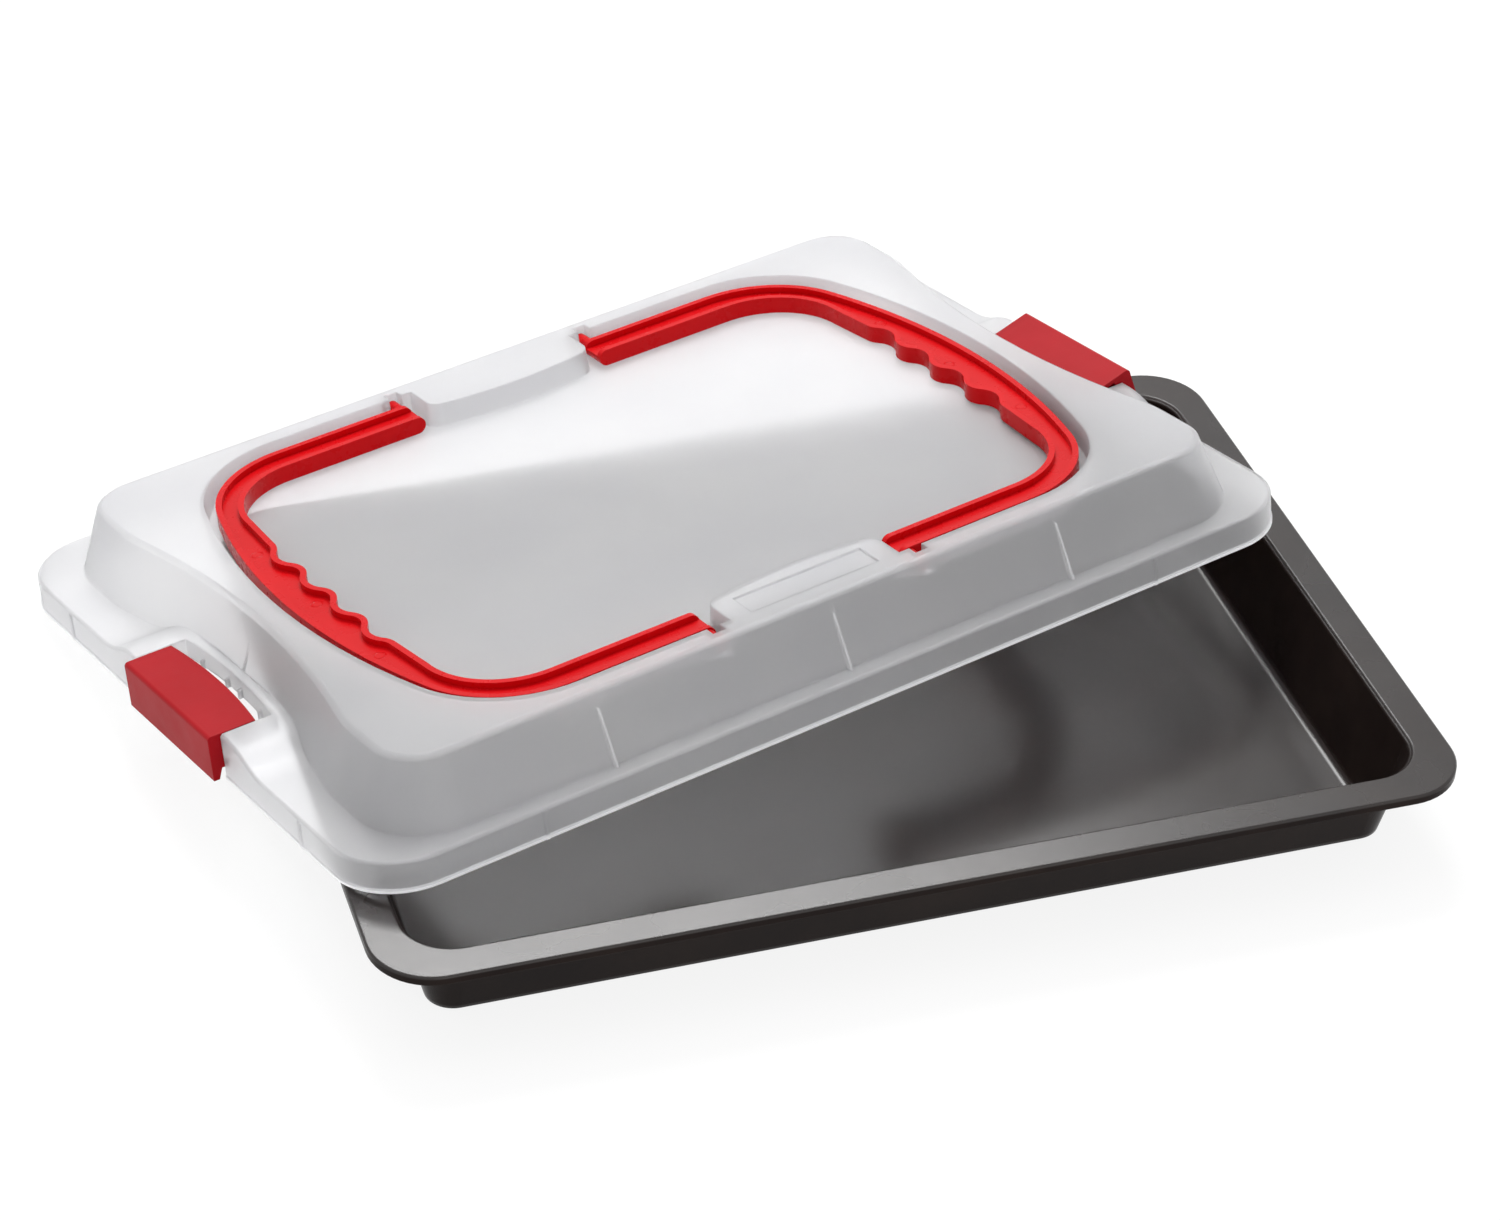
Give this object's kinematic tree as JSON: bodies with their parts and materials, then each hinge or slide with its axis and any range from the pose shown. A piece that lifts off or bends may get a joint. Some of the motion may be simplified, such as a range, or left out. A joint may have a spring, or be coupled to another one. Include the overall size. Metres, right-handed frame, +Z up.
{
  "type": "baking tray with lid",
  "caption": "Dark non-stick baking tray with a translucent domed lid that has folding red handles and hinged clips, the lid lying askew on the tray.",
  "frame": {"origin": "centre of the tray's flat base, on the surface it stands on", "axes": "+X along the tray's long side, +Y across it away from the near side, +Z up"},
  "size_m": [0.49, 0.4345, 0.0903],
  "materials": {
    "tray_coating": "satin non-stick",
    "lid_plastic": "frosted translucent",
    "handle_plastic": "gloss",
    "clip_plastic": "satin"
  },
  "bodies": {
    "tray": {"baking_tray": "tray_coating"},
    "lid": {"lid_shell": "lid_plastic"},
    "left_handle": {"handle_left": "handle_plastic"},
    "right_handle": {"handle_right": "handle_plastic"},
    "left_clip": {"clip_left": "clip_plastic"},
    "right_clip": {"clip_right": "clip_plastic"}
  },
  "joints": [
    {"name": "lid_lift", "type": "slide", "parent": "tray", "child": "lid", "axis": [0, 0, 1], "range_m": [0, 0.25]},
    {"name": "right_handle_fold", "type": "hinge", "parent": "lid", "child": "right_handle", "pos_m": [0.00018, 0.10737, 0.06231], "axis": [0.2718, -0.9517, 0.1426], "range_deg": [0, 110]},
    {"name": "left_handle_fold", "type": "hinge", "parent": "lid", "child": "left_handle", "pos_m": [-0.08814, 0.08176, 0.05976], "axis": [-0.2718, 0.9517, -0.1426], "range_deg": [0, 110]},
    {"name": "right_clip_hinge", "type": "hinge", "parent": "lid", "child": "right_clip", "pos_m": [0.14718, 0.14716, 0.04763], "axis": [0.2718, -0.9517, 0.1426], "range_deg": [0, 70]},
    {"name": "left_clip_hinge", "type": "hinge", "parent": "lid", "child": "left_clip", "pos_m": [-0.23262, 0.03703, 0.03665], "axis": [-0.2718, 0.9517, -0.1426], "range_deg": [0, 85]}
  ]
}
